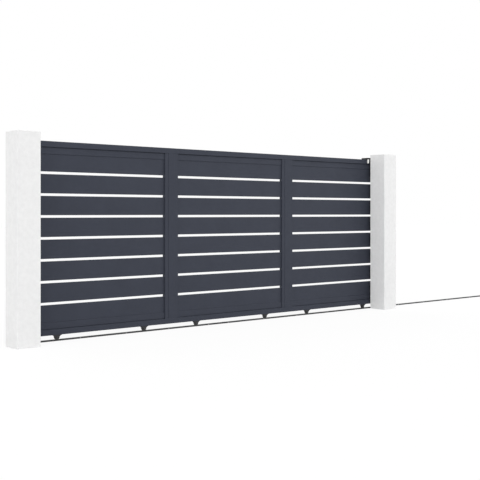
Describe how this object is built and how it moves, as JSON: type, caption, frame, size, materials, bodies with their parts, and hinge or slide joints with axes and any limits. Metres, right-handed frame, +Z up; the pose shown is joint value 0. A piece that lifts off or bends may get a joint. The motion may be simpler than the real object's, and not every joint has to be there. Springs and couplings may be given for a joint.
{
  "type": "sliding driveway gate",
  "caption": "Sliding driveway gate of horizontal slats in an aluminium frame, on wheels along a ground rail, between square rendered pillars.",
  "frame": {"origin": "middle of the left pillar's base, on the ground", "axes": "+X along the gate towards the side the leaf slides to, +Y from the street into the property, +Z up"},
  "size_m": [8.298, 0.2815, 1.65],
  "materials": {
    "rendered_masonry": "matte",
    "grey_aluminium": "satin",
    "rail_steel": "satin",
    "dark_steel": "satin",
    "zinc_steel": "satin",
    "white_nylon": "satin",
    "wheel_nylon": "satin",
    "black_rubber": "matte",
    "cap_plastic": "matte"
  },
  "bodies": {
    "posts": {"catch_buffer": "black_rubber", "guide_bracket": "dark_steel", "guide_pin_front": "zinc_steel", "guide_pin_rear": "zinc_steel", "leaf_catch": "dark_steel", "left_pillar": "rendered_masonry", "rail_end_stop": "rail_steel", "rail_section_1": "rail_steel", "rail_section_2": "rail_steel", "rail_section_3": "rail_steel", "rail_section_4": "rail_steel", "right_pillar": "rendered_masonry"},
    "leaf": {"bottom_rail": "grey_aluminium", "head_channel_1": "grey_aluminium", "head_channel_2": "grey_aluminium", "head_channel_3": "grey_aluminium", "left_stile": "grey_aluminium", "mullion_1": "grey_aluminium", "mullion_2": "grey_aluminium", "rail_end_caps": "cap_plastic", "right_stile": "grey_aluminium", "sill_channel_1": "grey_aluminium", "sill_channel_2": "grey_aluminium", "sill_channel_3": "grey_aluminium", "slat_spacers": "cap_plastic", "slats_bay_1": "grey_aluminium", "slats_bay_2": "grey_aluminium", "slats_bay_3": "grey_aluminium", "top_rail": "grey_aluminium", "wheel_axles": "dark_steel", "wheel_carrier_1": "dark_steel", "wheel_carrier_2": "dark_steel", "wheel_carrier_3": "dark_steel", "wheel_carrier_4": "dark_steel", "wheel_carrier_5": "dark_steel", "wheel_carrier_6": "dark_steel"},
    "wheel_1": {"wheel_1": "wheel_nylon"},
    "wheel_2": {"wheel_2": "wheel_nylon"},
    "wheel_3": {"wheel_3": "wheel_nylon"},
    "wheel_4": {"wheel_4": "wheel_nylon"},
    "wheel_5": {"wheel_5": "wheel_nylon"},
    "wheel_6": {"wheel_6": "wheel_nylon"},
    "guide_roller_front": {"guide_roller_front": "white_nylon"},
    "guide_roller_rear": {"guide_roller_rear": "white_nylon"}
  },
  "joints": [
    {"name": "gate_slide", "type": "slide", "parent": "posts", "child": "leaf", "axis": [1, 0, 0], "range_m": [0, 4]},
    {"name": "wheel_spin_1", "type": "hinge", "parent": "leaf", "child": "wheel_1", "pos_m": [0.3715, 0.1375, 0.0313], "axis": [0, 1, 0], "continuous": true},
    {"name": "wheel_spin_2", "type": "hinge", "parent": "leaf", "child": "wheel_2", "pos_m": [1.2255, 0.1375, 0.0313], "axis": [0, 1, 0], "continuous": true},
    {"name": "wheel_spin_3", "type": "hinge", "parent": "leaf", "child": "wheel_3", "pos_m": [1.8035, 0.1375, 0.0313], "axis": [0, 1, 0], "continuous": true},
    {"name": "wheel_spin_4", "type": "hinge", "parent": "leaf", "child": "wheel_4", "pos_m": [2.6575, 0.1375, 0.0313], "axis": [0, 1, 0], "continuous": true},
    {"name": "wheel_spin_5", "type": "hinge", "parent": "leaf", "child": "wheel_5", "pos_m": [3.2355, 0.1375, 0.0313], "axis": [0, 1, 0], "continuous": true},
    {"name": "wheel_spin_6", "type": "hinge", "parent": "leaf", "child": "wheel_6", "pos_m": [4.0895, 0.1375, 0.0313], "axis": [0, 1, 0], "continuous": true},
    {"name": "roller_spin_front", "type": "hinge", "parent": "posts", "child": "guide_roller_front", "pos_m": [4.1485, 0.107, 1.58], "axis": [0, 0, 1], "continuous": true},
    {"name": "roller_spin_rear", "type": "hinge", "parent": "posts", "child": "guide_roller_rear", "pos_m": [4.1485, 0.168, 1.58], "axis": [0, 0, 1], "continuous": true}
  ],
  "couplings": [
    {"joint": "wheel_spin_1", "follows": "gate_slide", "rad_per_m": 51.813},
    {"joint": "wheel_spin_2", "follows": "gate_slide", "rad_per_m": 51.813},
    {"joint": "wheel_spin_3", "follows": "gate_slide", "rad_per_m": 51.813},
    {"joint": "wheel_spin_4", "follows": "gate_slide", "rad_per_m": 51.813},
    {"joint": "wheel_spin_5", "follows": "gate_slide", "rad_per_m": 51.813},
    {"joint": "wheel_spin_6", "follows": "gate_slide", "rad_per_m": 51.813},
    {"joint": "roller_spin_front", "follows": "gate_slide", "rad_per_m": -95.238},
    {"joint": "roller_spin_rear", "follows": "gate_slide", "rad_per_m": 95.238}
  ]
}
